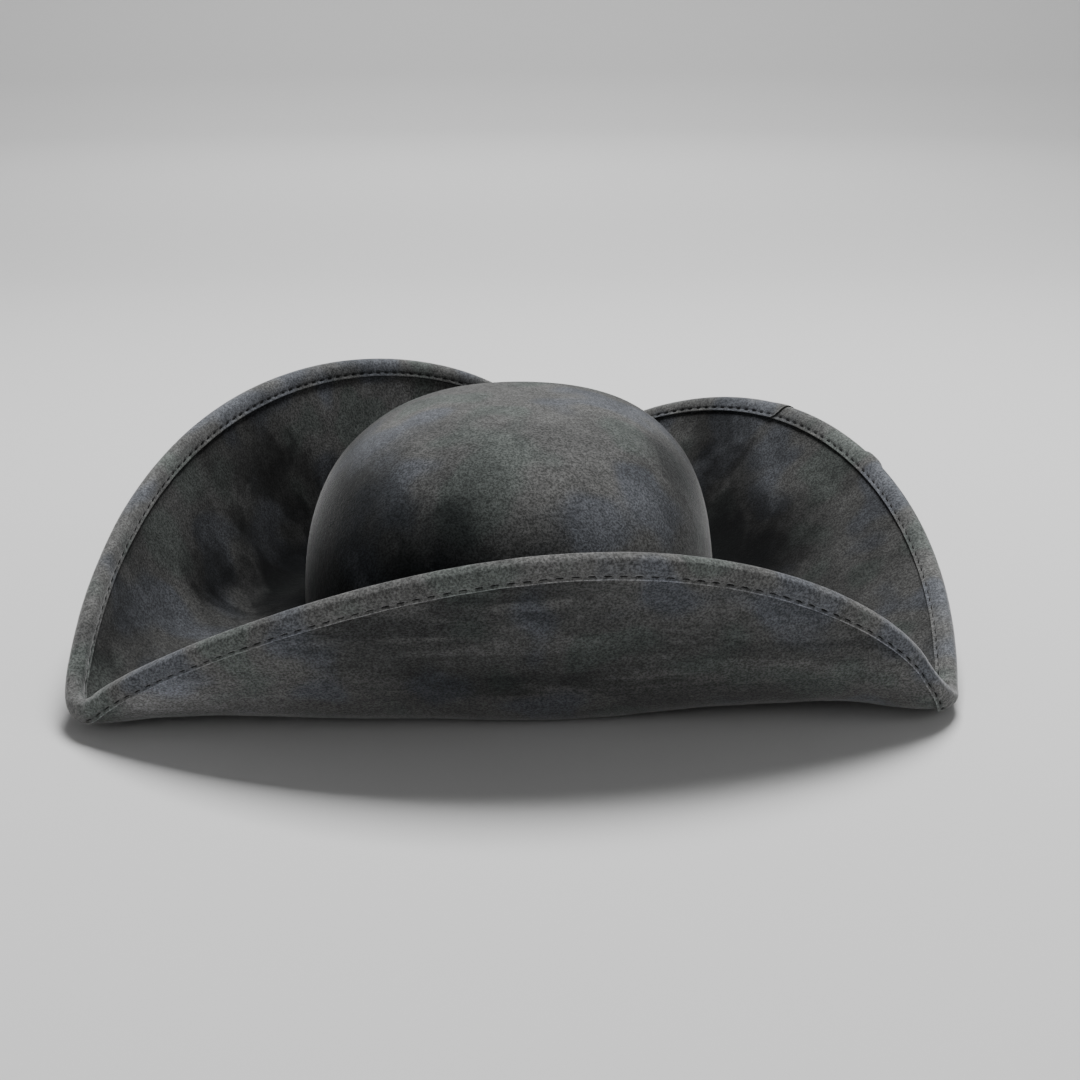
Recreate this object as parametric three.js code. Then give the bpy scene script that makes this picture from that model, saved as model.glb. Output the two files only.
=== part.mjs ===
// Pirate hat: a soft three-cornered hat with a round crown and a bound, wired brim.
// Millimetres, +Z up, +Y towards the corner worn at the front.
// The origin is on the table, under the middle of the crown; the hat stands on its brim.
import * as THREE from 'three';

// ---- driving dimensions ----
const CROWN = { halfWidth: 88, halfLength: 105, height: 88, lean: 4.5 };
const CROWN_BASE_Z = 8.0;        // where the crown wall starts, just above the brim
const CROWN_FULLNESS = { side: 0.67, top: 0.80 };  // smaller is squarer

// Depths of the crown layers, measured inwards from the outer face.
const COVER = { from: 0, to: 1.2 };
const STIFFENER = { from: 1.5, to: 3.1 };
const LINING = { from: 3.7, to: 4.3, splitRow: 6, seam: 0.008 };
const SWEATBAND = { from: 4.9, to: 6.3, bottomZ: 4, height: 32, topInset: 2.6 };

// Depths of the brim layers, measured from the middle of the brim, upper side positive.
const BRIM_LAYERS = {
  brim_upper_suede: { top: 2.2, bottom: 1.2 },
  brim_stiffener: { top: 0.9, bottom: -0.9 },
  brim_under_suede: { top: -1.2, bottom: -2.2 },
};
const BRIM_HOLE_DEPTH = 2.2;     // how far the brim reaches in under the crown wall
const BRIM_BASE_Z = 5.0;         // middle of the brim where it meets the crown
const FOLD_SHARPNESS = 1.8;      // weight of the fold in the brim's curve
const CORNER_SOFTNESS = 0.03;    // share of a flap over which a corner is rounded

const CORNERS = [
  { azimuth: 218.3, radius: 208, z: 1.7 },
  { azimuth: 321.6, radius: 208, z: 2.7 },
  { azimuth: 82.3, radius: 214, z: 1.4 },
];
// One turned-up flap from each corner to the next. Bulges are measured outwards from
// the straight line between the two corners, and foldDrop downwards from it.
const FLAPS = [
  { height: 76, edgeBulge: 44, foldBulge: -2, foldDrop: 9.9, skew: 1.28, fullness: 0.57 },
  { height: 59, edgeBulge: 65, foldBulge: 9, foldDrop: 8.1, skew: 1.59, fullness: 0.62 },
  { height: 80, edgeBulge: 60, foldBulge: 38, foldDrop: 9.6, skew: 0.72, fullness: 0.65 },
];

const BINDING = { inside: 2.6, outside: 3.6, tipInside: 3.9, tipOutside: 4.7, tipShare: 0.75 };
const EDGE_INSETS = [4, 2, 0];   // rows of points shared by the brim and its binding
const BINDING_JOIN = { at: 1.63, slant: 0.012, gap: 0.0016 };
const WIRE = { radius: 0.65, beyondEdge: 1.9, joinAt: 1.445, gap: 0.003 };
const FERRULE = { inner: 1.0, outer: 1.4, halfLength: 5 };
const THREAD = { radius: 0.35, lift: 0.7, inset: 2.8 };
const REED = { radius: 1.1, depth: 5.6, z: 2.4 };
const SWEATBAND_THREAD = { depth: 7.3, z: 9 };
const LABEL = { halfSpan: 0.17, thickness: 0.6, bottomZ: 12, height: 20, gap: 1.2, lean: 1.7 };

const BRIM_COLUMNS_PER_FLAP = 19;
const BRIM_ROWS = [0, 0.14, 0.28, 0.42, 0.58, 0.78];
const CROWN_COLUMNS = 40;
const CROWN_ROWS = 8;
const TUBE_SIDES = 4;
const CORNER_CROWDING = 0.11;     // how far columns move towards the corners
const SOFTENING_SAMPLES = 9;
const HALVINGS = 22;              // steps when searching for a place across the brim

// ---- colours ----
const COLOURS = {
  suede: 0x3c4042,
  binding: 0x484b4d,
  stiffener: 0x2a2a2c,
  satin: 0x1c1d20,
  sweatband: 0x2b2622,
  reed: 0xcfcabc,
  thread: 0x2c2e30,
  steel: 0x9a9da0,
  label: 0xd8d6cf,
};

// ---- plain geometry helpers ----
const UP = new THREE.Vector3(0, 0, 1);

function addScaled(point, direction, amount) {
  return point.clone().addScaledVector(direction, amount);
}

// A closed body swept through sections that are closed loops of points. `loop` joins
// the last section back to the first. A section goes out along one face and back along
// the other, so its second half is cut on the other diagonal to match the first.
function bodyFromSections(sections, loop) {
  const positions = [];
  const indices = [];
  const size = sections[0].length;
  sections.forEach((section) => section.forEach((p) => positions.push(p.x, p.y, p.z)));
  const steps = loop ? sections.length : sections.length - 1;
  for (let i = 0; i < steps; i += 1) {
    const next = (i + 1) % sections.length;
    for (let j = 0; j < size; j += 1) {
      const k = (j + 1) % size;
      const a = i * size + j;
      const b = i * size + k;
      const c = next * size + k;
      const d = next * size + j;
      indices.push(...(j < size / 2 ? [a, b, c, a, c, d] : [a, b, d, b, c, d]));
    }
  }
  if (!loop) {
    addCap(indices, 0, size, true);
    addCap(indices, (sections.length - 1) * size, size, false);
  }
  return facingOut(positions, indices);
}

// Closes the end of a swept section. The section is a strip folded on itself, so
// opposite points are joined by a ladder of triangles.
function addCap(indices, start, size, flipped) {
  for (let low = 0, high = size - 1; high - low > 1; low += 1, high -= 1) {
    const corners = [start + low, start + low + 1, start + high - 1, start + high];
    const triangles = [[corners[0], corners[1], corners[3]]];
    if (high - low > 2) triangles.push([corners[1], corners[2], corners[3]]);
    triangles.forEach(([a, b, c]) => indices.push(...(flipped ? [a, c, b] : [a, b, c])));
  }
}

// A dome or disc: rows of points from the rim to a single top point.
function pushFan(indices, rowStart, columns, top, flipped) {
  for (let i = 0; i < columns; i += 1) {
    const a = rowStart + i;
    const b = rowStart + ((i + 1) % columns);
    indices.push(...(flipped ? [b, a, top] : [a, b, top]));
  }
}

function signedVolume(positions, indices) {
  let volume = 0;
  const point = (i) => new THREE.Vector3().fromArray(positions, i * 3);
  for (let i = 0; i < indices.length; i += 3) {
    const [a, b, c] = [point(indices[i]), point(indices[i + 1]), point(indices[i + 2])];
    volume += a.dot(b.cross(c)) / 6;
  }
  return volume;
}

// Builds the geometry and turns every face outwards.
function facingOut(positions, indices) {
  if (signedVolume(positions, indices) < 0) {
    for (let i = 0; i < indices.length; i += 3) {
      [indices[i + 1], indices[i + 2]] = [indices[i + 2], indices[i + 1]];
    }
  }
  const geometry = new THREE.BufferGeometry();
  geometry.setAttribute('position', new THREE.Float32BufferAttribute(positions, 3));
  geometry.setIndex(indices);
  return geometry.toNonIndexed();
}

function namedMesh(name, geometry, colour, roughness = 0.9, metalness = 0) {
  const flat = geometry.clone();
  flat.computeVertexNormals();
  const material = new THREE.MeshStandardMaterial({ color: colour, roughness, metalness });
  material.name = name;
  const mesh = new THREE.Mesh(flat, material);
  mesh.name = name;
  return mesh;
}

// ---- the crown ----
function ovalRadius(azimuth, depth) {
  const across = Math.cos(azimuth) / (CROWN.halfWidth - depth);
  const along = Math.sin(azimuth) / (CROWN.halfLength - depth);
  return 1 / Math.hypot(across, along);
}

// A point on the dome. `rise` runs from 0 at the base to 1 at the top, and `depth`
// is how far the layer lies inside the outer face.
function domePoint(azimuth, rise, depth) {
  const turn = rise * Math.PI / 2;
  const radius = ovalRadius(azimuth, depth) * Math.cos(turn) ** CROWN_FULLNESS.side;
  const height = (CROWN.height - depth) * Math.sin(turn) ** CROWN_FULLNESS.top;
  const lean = CROWN.lean * (height / CROWN.height) ** 2;
  return new THREE.Vector3(
    radius * Math.cos(azimuth) + lean,
    radius * Math.sin(azimuth),
    CROWN_BASE_Z + height,
  );
}

function crownAzimuths() {
  return Array.from({ length: CROWN_COLUMNS }, (_, i) => i * 2 * Math.PI / CROWN_COLUMNS);
}

function domeRow(rise, depth) {
  return crownAzimuths().map((azimuth) => domePoint(azimuth, rise, depth));
}

// A dome-shaped shell from one row of the dome to the very top.
function domeCap(layer, startRow = 0, seam = 0) {
  const rises = Array.from({ length: CROWN_ROWS - startRow }, (_, i) => (
    (startRow + i) / CROWN_ROWS + (i === 0 ? seam : 0)));
  const outer = rises.map((rise) => domeRow(rise, layer.from));
  const inner = rises.map((rise) => domeRow(rise, layer.to));
  const rows = [...inner.reverse(), ...outer];
  const points = rows.flat();
  const indices = [];
  for (let j = 0; j < rows.length - 1; j += 1) {
    for (let i = 0; i < CROWN_COLUMNS; i += 1) {
      const k = (i + 1) % CROWN_COLUMNS;
      const a = j * CROWN_COLUMNS + i;
      const b = j * CROWN_COLUMNS + k;
      indices.push(a, b, b + CROWN_COLUMNS, a, b + CROWN_COLUMNS, a + CROWN_COLUMNS);
    }
  }
  const innerTop = points.push(domePoint(0, 1, layer.to)) - 1;
  const outerTop = points.push(domePoint(0, 1, layer.from)) - 1;
  pushFan(indices, 0, CROWN_COLUMNS, innerTop, true);
  pushFan(indices, (rows.length - 1) * CROWN_COLUMNS, CROWN_COLUMNS, outerTop, false);
  return facingOut(points.flatMap((p) => p.toArray()), indices);
}

// An upright band round the head: the dome wall from the base up to one row.
function domeWall(layer, endRow) {
  const rises = Array.from({ length: endRow + 1 }, (_, i) => i / CROWN_ROWS);
  const sections = crownAzimuths().map((azimuth) => [
    ...rises.map((rise) => domePoint(azimuth, rise, layer.from)),
    ...[...rises].reverse().map((rise) => domePoint(azimuth, rise, layer.to)),
  ]);
  return bodyFromSections(sections, true);
}

function headOvalPoint(azimuth, depth, z) {
  const radius = ovalRadius(azimuth, depth);
  return new THREE.Vector3(radius * Math.cos(azimuth), radius * Math.sin(azimuth), z);
}

// An upright strip inside the head opening, leaning in towards its top.
function headBand(azimuths, from, to, bottomZ, height, topInset, loop) {
  const sections = azimuths.map((azimuth) => [
    headOvalPoint(azimuth, from, bottomZ),
    headOvalPoint(azimuth, from + topInset, bottomZ + height),
    headOvalPoint(azimuth, to + topInset, bottomZ + height),
    headOvalPoint(azimuth, to, bottomZ),
  ]);
  return bodyFromSections(sections, loop);
}

function sweatbandGeometry() {
  const { from, to, bottomZ, height, topInset } = SWEATBAND;
  return headBand(crownAzimuths(), from, to, bottomZ, height, topInset, true);
}

function labelGeometry() {
  const { halfSpan, thickness, bottomZ, height, gap, lean } = LABEL;
  const columns = 6;
  const azimuths = Array.from({ length: columns + 1 }, (_, i) => (
    -Math.PI / 2 + halfSpan * (2 * i / columns - 1)));
  const from = SWEATBAND.to + gap;
  return headBand(azimuths, from, from + thickness, bottomZ, height, lean, false);
}

// A round cord running level round the head opening.
function headRing({ depth, z, radius }) {
  const sections = crownAzimuths().map((azimuth) => {
    const centre = headOvalPoint(azimuth, depth, z);
    const outwards = new THREE.Vector3(centre.x, centre.y, 0).normalize();
    return roundSection(centre, outwards, UP, radius);
  });
  return bodyFromSections(sections, true);
}

// ---- the brim ----
function cornerPoint({ azimuth, radius, z }) {
  const turn = THREE.MathUtils.degToRad(azimuth);
  return new THREE.Vector3(radius * Math.cos(turn), radius * Math.sin(turn), z);
}

// Fold and edge of the brim before its corners are rounded. `along` counts flaps:
// 0 to 1 is the first flap, 1 to 2 the second, 2 to 3 the third.
function sharpBrim(along) {
  const wrapped = ((along % 3) + 3) % 3;
  const index = Math.floor(wrapped);
  const share = wrapped - index;
  const flap = FLAPS[index];
  const start = cornerPoint(CORNERS[index]);
  const end = cornerPoint(CORNERS[(index + 1) % 3]);
  const outwards = end.clone().sub(start).cross(UP).normalize();
  const chord = start.clone().lerp(end, share);
  const arch = 4 * share * (1 - share);
  const swell = Math.max(Math.sin(Math.PI * share ** flap.skew), 0) ** flap.fullness;
  const fold = addScaled(chord, outwards, flap.foldBulge * arch);
  fold.z -= flap.foldDrop * arch;
  const edge = addScaled(chord, outwards, flap.edgeBulge * arch);
  edge.z += flap.height * swell;
  return { fold, edge };
}

// The same with rounded corners: an average over a short stretch of the brim.
function softBrim(along) {
  const fold = new THREE.Vector3();
  const edge = new THREE.Vector3();
  for (let i = 0; i < SOFTENING_SAMPLES; i += 1) {
    const offset = CORNER_SOFTNESS * (2 * i / (SOFTENING_SAMPLES - 1) - 1);
    const sharp = sharpBrim(along + offset);
    fold.addScaledVector(sharp.fold, 1 / SOFTENING_SAMPLES);
    edge.addScaledVector(sharp.edge, 1 / SOFTENING_SAMPLES);
  }
  return { fold, edge };
}

// A point in the middle of the brim. `across` runs from 0 at the crown to 1 at the edge.
function brimPoint(along, across) {
  const { fold, edge } = softBrim(along);
  const azimuth = Math.atan2(fold.y, fold.x);
  const base = headOvalPoint(azimuth, BRIM_HOLE_DEPTH, BRIM_BASE_Z);
  const atBase = (1 - across) ** 2;
  const atFold = 2 * FOLD_SHARPNESS * across * (1 - across);
  const atEdge = across ** 2;
  return base.multiplyScalar(atBase)
    .addScaledVector(fold, atFold)
    .addScaledVector(edge, atEdge)
    .divideScalar(atBase + atFold + atEdge);
}

// Directions at a point of the brim: along the edge, out towards the edge, and up
// from the upper face.
function brimFrame(along, across) {
  const step = 0.004;
  const inner = Math.max(across - step, 0);
  const outer = Math.min(across + step, 1);
  const outwards = brimPoint(along, outer).sub(brimPoint(along, inner)).normalize();
  const sideways = brimPoint(along + step, across).sub(brimPoint(along - step, across));
  const up = outwards.clone().cross(sideways).normalize();
  return { centre: brimPoint(along, across), outwards, up };
}

// Columns are closer together near the corners, where the brim turns sharply.
function brimColumns(perFlap = BRIM_COLUMNS_PER_FLAP) {
  const columns = [];
  for (let flap = 0; flap < 3; flap += 1) {
    for (let i = 0; i < perFlap; i += 1) {
      const even = i / perFlap;
      columns.push(flap + even - CORNER_CROWDING * Math.sin(2 * Math.PI * even));
    }
  }
  return columns;
}

// The place across the brim that lies a given distance in from its edge.
function acrossAtInset(along, inset) {
  const edge = brimPoint(along, 1);
  let near = 1;
  let far = 0;
  for (let i = 0; i < HALVINGS; i += 1) {
    const middle = (near + far) / 2;
    if (brimPoint(along, middle).distanceTo(edge) > inset) far = middle;
    else near = middle;
  }
  return near;
}

function frameAtInset(along, inset) {
  return brimFrame(along, inset > 0 ? acrossAtInset(along, inset) : 1);
}

function brimLayer({ top, bottom }) {
  const sections = brimColumns().map((along) => {
    const reach = acrossAtInset(along, EDGE_INSETS[0]);
    const body = BRIM_ROWS.map((row) => brimFrame(along, row * reach));
    const edge = EDGE_INSETS.map((inset) => frameAtInset(along, inset));
    const frames = [...body, ...edge];
    const upper = frames.map(({ centre, up }) => addScaled(centre, up, top));
    const lower = frames.map(({ centre, up }) => addScaled(centre, up, bottom));
    lower.forEach((p) => { p.z = Math.max(p.z, 0); });   // pressed flat on the table
    return [...upper, ...lower.reverse()];
  });
  return bodyFromSections(sections, true);
}

// ---- what runs round the edge of the brim ----
// Positions from just after a join, all the way round, to just before it.
function openRun(joinAt, gap) {
  const wrapped = brimColumns().map((along) => (along - joinAt + 3) % 3);
  const kept = wrapped.filter((along) => along > 3 * gap && along < 3 - 3 * gap);
  const sorted = kept.sort((a, b) => a - b);
  return [gap / 2, ...sorted, 3 - gap / 2].map((along) => along + joinAt);
}

// The folded tape: a U-shaped section hooked over the edge. `slant` shifts the upper
// face one way along the edge and the lower face the other.
function bindingSection(along, slant) {
  const { inside, outside, tipInside, tipOutside, tipShare } = BINDING;
  const at = (inset, depth, beyond = 0) => {
    const shifted = along + slant * depth / outside;
    const { centre, outwards, up } = frameAtInset(shifted, inset);
    return addScaled(addScaled(centre, outwards, beyond), up, depth);
  };
  const leg = (depth, tip) => [
    ...EDGE_INSETS.map((inset) => at(inset, depth)),
    at(0, depth * tipShare, tip),
  ];
  return [
    ...leg(outside, tipOutside),
    ...leg(-outside, tipOutside).reverse(),
    ...leg(-inside, tipInside),
    ...leg(inside, tipInside).reverse(),
  ];
}

function bindingGeometry() {
  const run = openRun(BINDING_JOIN.at, BINDING_JOIN.gap);
  const last = run.length - 1;
  const sections = run.map((along, i) => (
    bindingSection(along, i === 0 || i === last ? BINDING_JOIN.slant : 0)));
  return bodyFromSections(sections, false);
}

function roundSection(centre, right, up, radius) {
  return Array.from({ length: TUBE_SIDES }, (_, i) => {
    const turn = i * 2 * Math.PI / TUBE_SIDES;
    const sideways = addScaled(centre, right, radius * Math.cos(turn));
    return addScaled(sideways, up, radius * Math.sin(turn));
  });
}

// A row of stitching, `depth` above the middle of the brim.
function stitchingGeometry(depth) {
  const sections = brimColumns().map((along) => {
    const { centre, outwards, up } = frameAtInset(along, THREAD.inset);
    const path = addScaled(centre, up, depth);
    return roundSection(path, outwards, up, THREAD.radius);
  });
  return bodyFromSections(sections, true);
}

function wirePoint(along) {
  const { centre, outwards } = frameAtInset(along, 0);
  return addScaled(centre, outwards, WIRE.beyondEdge);
}

function wireGeometry() {
  const sections = openRun(WIRE.joinAt, WIRE.gap).map((along) => {
    const { outwards, up } = frameAtInset(along, 0);
    return roundSection(wirePoint(along), outwards, up, WIRE.radius);
  });
  return bodyFromSections(sections, false);
}

// The little tube that holds the two ends of the wire.
function ferruleGeometry() {
  const { up } = frameAtInset(WIRE.joinAt, 0);
  const centre = wirePoint(WIRE.joinAt);
  const lengthwise = wirePoint(WIRE.joinAt + 0.01).sub(wirePoint(WIRE.joinAt - 0.01)).normalize();
  const sideways = up.clone().cross(lengthwise);
  const sides = 10;
  const sections = Array.from({ length: sides }, (_, i) => {
    const turn = i * 2 * Math.PI / sides;
    const arm = sideways.clone().multiplyScalar(Math.cos(turn)).addScaledVector(up, Math.sin(turn));
    const at = (end, radius) => addScaled(addScaled(centre, lengthwise, end), arm, radius);
    const { inner, outer, halfLength } = FERRULE;
    return [
      at(-halfLength, inner),
      at(-halfLength, outer),
      at(halfLength, outer),
      at(halfLength, inner),
    ];
  });
  return bodyFromSections(sections, true);
}

// ---- assembly ----
function crownParts() {
  const liningTip = domeCap(LINING, LINING.splitRow, LINING.seam);
  const liningSide = domeWall(LINING, LINING.splitRow);
  return [
    namedMesh('crown_cover', domeCap(COVER), COLOURS.suede),
    namedMesh('crown_stiffener', domeCap(STIFFENER), COLOURS.stiffener),
    namedMesh('lining_tip', liningTip, COLOURS.satin, 0.5),
    namedMesh('lining_side', liningSide, COLOURS.satin, 0.5),
    namedMesh('sweatband', sweatbandGeometry(), COLOURS.sweatband, 0.7),
    namedMesh('sweatband_reed', headRing(REED), COLOURS.reed),
    namedMesh('sweatband_stitching', headRing({ ...SWEATBAND_THREAD, radius: THREAD.radius }), COLOURS.thread),
    namedMesh('care_label', labelGeometry(), COLOURS.label),
  ];
}

function brimParts() {
  const layers = Object.entries(BRIM_LAYERS).map(([name, layer]) => {
    const colour = name === 'brim_stiffener' ? COLOURS.stiffener : COLOURS.suede;
    return namedMesh(name, brimLayer(layer), colour);
  });
  const stitchDepth = BINDING.outside + THREAD.lift;
  return [
    ...layers,
    namedMesh('edge_binding', bindingGeometry(), COLOURS.binding),
    namedMesh('binding_stitching_inner', stitchingGeometry(stitchDepth), COLOURS.thread),
    namedMesh('binding_stitching_outer', stitchingGeometry(-stitchDepth), COLOURS.thread),
    namedMesh('brim_wire', wireGeometry(), COLOURS.steel, 0.4, 1),
    namedMesh('wire_ferrule', ferruleGeometry(), COLOURS.steel, 0.4, 1),
  ];
}

const hat = new THREE.Group();
hat.name = 'pirate_hat';
hat.add(...crownParts(), ...brimParts());

export default hat;
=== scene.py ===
"""Looks of the pirate hat: suede brim and crown, bound and stitched edge, lined inside.

Shapes are worked out in millimetres, as in the CAD part, and scaled to metres when a
mesh is made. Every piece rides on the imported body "root".
"""

import math

import bpy
import numpy as np
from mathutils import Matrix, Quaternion, Vector, noise


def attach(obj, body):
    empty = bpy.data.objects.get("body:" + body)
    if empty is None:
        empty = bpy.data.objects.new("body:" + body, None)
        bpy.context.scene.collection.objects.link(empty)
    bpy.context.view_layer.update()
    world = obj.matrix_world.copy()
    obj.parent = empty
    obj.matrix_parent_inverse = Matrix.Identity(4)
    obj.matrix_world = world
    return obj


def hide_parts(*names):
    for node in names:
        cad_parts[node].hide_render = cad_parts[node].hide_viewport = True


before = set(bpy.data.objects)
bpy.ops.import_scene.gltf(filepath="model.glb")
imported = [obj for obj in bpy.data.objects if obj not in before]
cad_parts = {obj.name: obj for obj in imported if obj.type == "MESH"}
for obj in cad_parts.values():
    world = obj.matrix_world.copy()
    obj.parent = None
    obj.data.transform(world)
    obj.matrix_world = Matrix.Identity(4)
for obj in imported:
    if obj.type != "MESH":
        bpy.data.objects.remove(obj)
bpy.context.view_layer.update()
MM = 0.001

# ---- shape, the same driving dimensions as the CAD part ----
CROWN_HALF_WIDTH = 88.0
CROWN_HALF_LENGTH = 105.0
CROWN_HEIGHT = 88.0
CROWN_LEAN = 4.5
CROWN_BASE_Z = 8.0
CROWN_SIDE_FULLNESS = 0.67
CROWN_TOP_FULLNESS = 0.80
BRIM_HOLE_DEPTH = 2.2  # inside the crown's outer face
BRIM_BASE_Z = 5.0
FOLD_SHARPNESS = 1.8
CORNER_SOFTNESS = 0.03  # in flaps, to each side
SOFTENING_SAMPLES = 9
CORNERS = (  # azimuth in degrees, radius, height
    (218.3, 208.0, 1.7),
    (321.6, 208.0, 2.7),
    (82.3, 214.0, 1.4),
)
FLAPS = (  # height, edge bulge, fold bulge, fold drop, skew, fullness
    (76.0, 44.0, -2.0, 9.9, 1.28, 0.57),
    (59.0, 65.0, 9.0, 8.1, 1.59, 0.62),
    (80.0, 60.0, 38.0, 9.6, 0.72, 0.65),
)
UPPER_SUEDE = (2.2, 1.2)  # skins of each brim layer, from the middle of the brim
STIFFENER_CORE = (0.9, -0.9)
UNDER_SUEDE = (-1.2, -2.2)
BINDING_DEPTH = 3.5  # from the middle of the brim to each face of the tape
BINDING_COVER = 4.3  # in from the brim's edge to the tape's raw edge
BINDING_TIP = 4.6  # out from the brim's edge to the tape's fold
BINDING_THICKNESS = 0.9
BINDING_LEAST_DEPTH = (2.35, 2.65)  # of the tape's inner and outer skin, clear of the suede
FURROW = 0.25
DIMPLE = 0.85
THREAD_RADIUS = 0.28
THREAD_HIDDEN_AT = 2.8  # depth of the thread where it runs inside the tape
STITCH_INSET = 2.8  # in from the brim's edge
STITCH_PITCH = 5.5
DASH_LENGTH = 2.6  # the part of each stitch that shows
INNER_DIMPLES = 0.45  # how deep dimples are on the inner face, against the outer one
JOIN_AT = 1.63  # in flaps along the brim
FERRULE_AT = 1.445
KINK_HEIGHT = 1.1  # how far the wire's ferrule pushes the tape out
KINK_HALF_RUN = 0.017
LAP_LENGTH = 16.0
LAP_RISE = 0.9
SLANT = 6.0  # how far the cut of the lapped end leans along the tape
SLANT_LENGTH = 30.0
THREAD_SIDES = 6
CROWN_SUEDE_SKINS = (0.0, 1.2)  # in from the crown's outer face
CROWN_CORE_SKINS = (1.5, 3.1)
REED = {"depth": 5.6, "z": 2.4, "radius": 1.1}
SWEATBAND_THREAD = {"depth": 7.3, "z": 9.0, "radius": 0.3}


# ---- small helpers ----
def smoothstep(x):
    x = np.clip(x, 0.0, 1.0)
    return x * x * (3.0 - 2.0 * x)


def unit(vectors):
    return vectors / np.linalg.norm(vectors, axis=-1, keepdims=True)


def wave_noise(points, size, seed=0.0):
    """Smooth noise between about -1 and 1, with features of the given size in mm."""
    flat = (points / size + seed).reshape(-1, 3)
    values = [noise.noise(Vector(p)) for p in flat.tolist()]
    return np.array(values).reshape(points.shape[:-1])


def running_length(path):
    steps = np.linalg.norm(np.diff(path, axis=0), axis=-1)
    return np.concatenate([[0.0], np.cumsum(steps)])


# ---- the brim ----
def corner_point(azimuth, radius, z):
    turn = math.radians(azimuth)
    return np.array([radius * math.cos(turn), radius * math.sin(turn), z])


CORNER_POINTS = np.array([corner_point(*corner) for corner in CORNERS])
FLAP_VALUES = np.array(FLAPS)


def sharp_brim(along):
    """Fold and edge of the brim before its corners are rounded, by flap number."""
    wrapped = along % 3.0
    index = np.floor(wrapped).astype(int) % 3
    share = wrapped - np.floor(wrapped)
    start = CORNER_POINTS[index]
    end = CORNER_POINTS[(index + 1) % 3]
    height, edge_bulge, fold_bulge, fold_drop, skew, fullness = FLAP_VALUES[index].T
    run = end - start
    outwards = unit(np.stack([run[:, 1], -run[:, 0], np.zeros(len(run))], axis=-1))
    chord = start + run * share[:, None]
    arch = 4.0 * share * (1.0 - share)
    swell = np.maximum(np.sin(math.pi * share**skew), 0.0) ** fullness
    fold = chord + outwards * (fold_bulge * arch)[:, None]
    fold[:, 2] -= fold_drop * arch
    edge = chord + outwards * (edge_bulge * arch)[:, None]
    edge[:, 2] += height * swell
    return fold, edge


def soft_brim(along):
    """The same with its corners rounded: an average over a short stretch."""
    shifts = np.linspace(-1, 1, SOFTENING_SAMPLES)
    pairs = [sharp_brim(along + CORNER_SOFTNESS * shift) for shift in shifts]
    folds, edges = zip(*pairs)
    return sum(folds) / len(folds), sum(edges) / len(edges)


def oval_radius(azimuth, depth):
    across = np.cos(azimuth) / (CROWN_HALF_WIDTH - depth)
    lengthwise = np.sin(azimuth) / (CROWN_HALF_LENGTH - depth)
    return 1.0 / np.hypot(across, lengthwise)


def brim_points(along, across):
    """Points in the middle of the brim for arrays along (n) and across (n, m)."""
    fold, edge = soft_brim(along)
    azimuth = np.arctan2(fold[:, 1], fold[:, 0])
    radius = oval_radius(azimuth, BRIM_HOLE_DEPTH)
    base_z = np.full_like(radius, BRIM_BASE_Z)
    base = np.stack([radius * np.cos(azimuth), radius * np.sin(azimuth), base_z], axis=-1)
    at_base = ((1.0 - across) ** 2)[..., None]
    at_fold = (2.0 * FOLD_SHARPNESS * across * (1.0 - across))[..., None]
    at_edge = (across**2)[..., None]
    total = at_base * base[:, None] + at_fold * fold[:, None] + at_edge * edge[:, None]
    return total / (at_base + at_fold + at_edge)


def brim_frames(along, across):
    """Middle points with their directions: out to the edge, and up from the brim."""
    step = 0.004
    inner = np.maximum(across - step, 0.0)
    outer = np.minimum(across + step, 1.0)
    outwards = unit(brim_points(along, outer) - brim_points(along, inner))
    sideways = brim_points(along + step, across) - brim_points(along - step, across)
    return brim_points(along, across), outwards, unit(np.cross(outwards, sideways))


def across_by_distance(along, distances):
    """Places across the brim, from distances (n, m) in from the edge in mm."""
    samples = np.linspace(0.0, 1.0, 241)
    points = brim_points(along, np.broadcast_to(samples, (len(along), len(samples))))
    steps = np.linalg.norm(np.diff(points, axis=1), axis=-1)
    from_edge = np.concatenate([np.cumsum(steps[:, ::-1], axis=1)[:, ::-1],
                                np.zeros((len(along), 1))], axis=1)
    rows = zip(distances, from_edge)
    places = [np.interp(-wanted, -known, samples) for wanted, known in rows]
    return np.array(places), from_edge[:, 0]


def measured_run(start, end, inset):
    """Closely spaced places along the brim with their running length in mm."""
    rough = np.linspace(start, end, 3001)
    across, _ = across_by_distance(rough, np.full((len(rough), 1), inset))
    return rough, running_length(brim_points(rough, across)[:, 0])


def even_run(start, end, spacing):
    """Places along the brim's edge, evenly spaced in mm."""
    rough, length = measured_run(start, end, 0.0)
    count = int(round(length[-1] / spacing))
    return np.interp(np.linspace(0.0, length[-1], count + 1), length, rough)


def stitched_run(end_at):
    """Places along the tape with extra ones at each stitch, and their length in mm."""
    rough, length = measured_run(JOIN_AT, end_at, STITCH_INSET)
    half = DASH_LENGTH / 2.0
    near = np.array([-1.25, -0.85, -0.4, 0.0, 0.4, 0.85, 1.25]) * half
    offsets = np.concatenate([near, [STITCH_PITCH / 2.0]]) + STITCH_PITCH / 2.0
    stitches = np.arange(int(length[-1] / STITCH_PITCH)) * STITCH_PITCH
    wanted = (stitches[:, None] + offsets[None]).ravel()
    wanted = np.concatenate([[0.0], wanted])
    return np.interp(wanted, length, rough), wanted


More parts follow.
